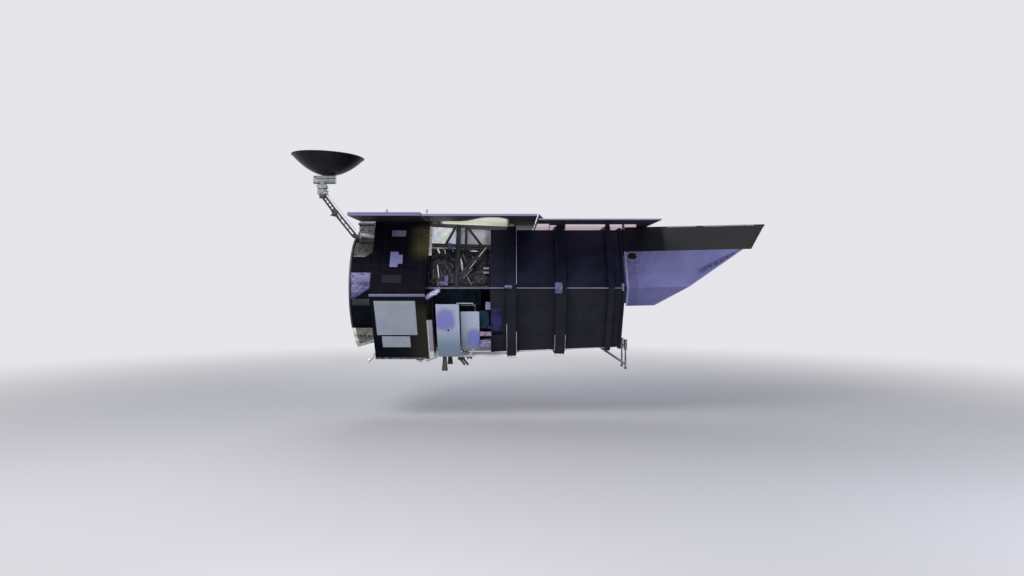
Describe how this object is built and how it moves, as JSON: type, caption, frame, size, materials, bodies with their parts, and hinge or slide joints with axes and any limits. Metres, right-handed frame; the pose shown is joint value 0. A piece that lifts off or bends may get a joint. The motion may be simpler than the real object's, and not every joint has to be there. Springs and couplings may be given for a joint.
{
  "type": "space telescope satellite",
  "caption": "Deployed space telescope satellite: bus, instrument bay, hexagonal barrel, solar array sun shield, fabric aperture cover and a steerable dish.",
  "frame": {"origin": "centre of the aft face of the separation ring", "axes": "+X along the telescope's boresight towards the aperture, +Z towards the sun side that carries the solar array, +Y port"},
  "size_m": [12.7582, 6, 5.8491],
  "materials": {
    "black_blanket": "crinkled satin blanket",
    "dark_blanket": "crinkled satin blanket",
    "silver_blanket": "crinkled metallised blanket",
    "lavender_blanket": "smooth metallised blanket",
    "white_radiator": "white radiator coating",
    "grey_plate": "matt grey coating",
    "bare_metal": "brushed",
    "dark_composite": "woven composite",
    "solar_cells": "cells on a honeycomb panel",
    "shade_panel": "blanketed honeycomb panel",
    "mirror_coat": "polished",
    "tube_grey": "satin",
    "instrument": "crinkled satin blanket",
    "antenna": "satin composite",
    "harness": "taped bundle"
  },
  "bodies": {
    "spacecraft": {"separation_ring": "bare_metal", "aft_skirt": "black_blanket", "aft_deck": "silver_blanket", "skirt_housing": "silver_blanket", "bus_core": "black_blanket", "bus_edge_strips": "lavender_blanket", "bus_side_plates": "white_radiator", "bus_radiators": "white_radiator", "thruster_modules": "silver_blanket", "low_gain_masts": "bare_metal", "instrument_carrier": "dark_composite", "wide_field_instrument": "instrument", "instrument_cooler": "silver_blanket", "optical_bench": "white_radiator", "lower_instrument": "instrument", "coolant_lines": "tube_grey", "bay_radiators_starboard": "white_radiator", "bay_radiators_port": "white_radiator", "bay_truss_starboard": "dark_composite", "bay_truss_port": "dark_composite", "bay_rails": "tube_grey", "side_rails": "lavender_blanket", "barrel_panel_top": "dark_blanket", "barrel_panel_bottom": "dark_blanket", "barrel_panel_port_upper": "dark_blanket", "barrel_panel_port_lower": "dark_blanket", "barrel_panel_starboard_upper": "dark_blanket", "barrel_panel_starboard_lower": "dark_blanket", "mirror_cell": "dark_composite", "primary_mirror": "mirror_coat", "centre_baffle": "dark_composite", "secondary_struts": "dark_composite", "secondary_mirror": "mirror_coat", "outrigger": "tube_grey", "lower_sensors": "dark_composite", "array_centre_rear": "solar_cells", "array_centre_front": "solar_cells", "array_standoffs": "bare_metal", "flap_hinge_brackets": "bare_metal", "boom_root_bracket": "silver_blanket", "cover_hinge_brackets": "bare_metal"},
    "wing_rear_starboard": {"array_wing_rear_starboard": "solar_cells"},
    "wing_rear_port": {"array_wing_rear_port": "solar_cells"},
    "wing_front_starboard": {"array_wing_front_starboard": "solar_cells"},
    "wing_front_port": {"array_wing_front_port": "solar_cells"},
    "flap_starboard": {"shade_flap_starboard": "shade_panel"},
    "flap_port": {"shade_flap_port": "shade_panel"},
    "boom": {"antenna_boom": "dark_composite", "boom_harness": "harness", "azimuth_base": "silver_blanket"},
    "gimbal": {"gimbal_housing": "silver_blanket"},
    "dish": {"dish_yoke": "silver_blanket", "dish_reflector": "antenna", "dish_feed": "bare_metal"},
    "cover": {"cover_boom_starboard": "bare_metal", "cover_boom_port": "bare_metal", "cover_spreaders": "bare_metal", "cover_top_sheet": "lavender_blanket", "cover_side_panels": "dark_blanket", "cover_skirts": "silver_blanket"}
  },
  "joints": [
    {"name": "wing_rear_starboard_fold", "type": "hinge", "parent": "spacecraft", "child": "wing_rear_starboard", "pos_m": [3.515, -1.02, 1.79], "axis": [1, 0, 0], "range_deg": [0, 58]},
    {"name": "wing_front_starboard_fold", "type": "hinge", "parent": "spacecraft", "child": "wing_front_starboard", "pos_m": [6.4725, -1.02, 1.682], "axis": [1, 0, 0], "range_deg": [0, 58]},
    {"name": "wing_rear_port_fold", "type": "hinge", "parent": "spacecraft", "child": "wing_rear_port", "pos_m": [3.515, 1.02, 1.79], "axis": [-1, 0, 0], "range_deg": [0, 58]},
    {"name": "wing_front_port_fold", "type": "hinge", "parent": "spacecraft", "child": "wing_front_port", "pos_m": [6.4725, 1.02, 1.682], "axis": [-1, 0, 0], "range_deg": [0, 58]},
    {"name": "flap_starboard_fold", "type": "hinge", "parent": "spacecraft", "child": "flap_starboard", "pos_m": [1.17, -1.16, 1.8125], "axis": [1, 0, 0], "range_deg": [0, 58]},
    {"name": "flap_port_fold", "type": "hinge", "parent": "spacecraft", "child": "flap_port", "pos_m": [1.17, 1.16, 1.8125], "axis": [-1, 0, 0], "range_deg": [0, 58]},
    {"name": "boom_fold", "type": "hinge", "parent": "spacecraft", "child": "boom", "pos_m": [0.075, -1.05, 1.4], "axis": [0, -1, 0], "range_deg": [0, 90]},
    {"name": "dish_azimuth", "type": "hinge", "parent": "boom", "child": "gimbal", "pos_m": [-0.785, -1.05, 2.655], "axis": [0, 0, 1], "range_deg": [-90, 90]},
    {"name": "dish_elevation", "type": "hinge", "parent": "gimbal", "child": "dish", "pos_m": [-0.785, -1.05, 2.89], "axis": [1, 0, 0], "range_deg": [-90, 90]},
    {"name": "cover_fold", "type": "hinge", "parent": "spacecraft", "child": "cover", "pos_m": [7.33, 0, 1.605], "axis": [0, 1, 0], "range_deg": [0, 87], "deforming": ["cover_side_panels", "cover_skirts"]}
  ]
}
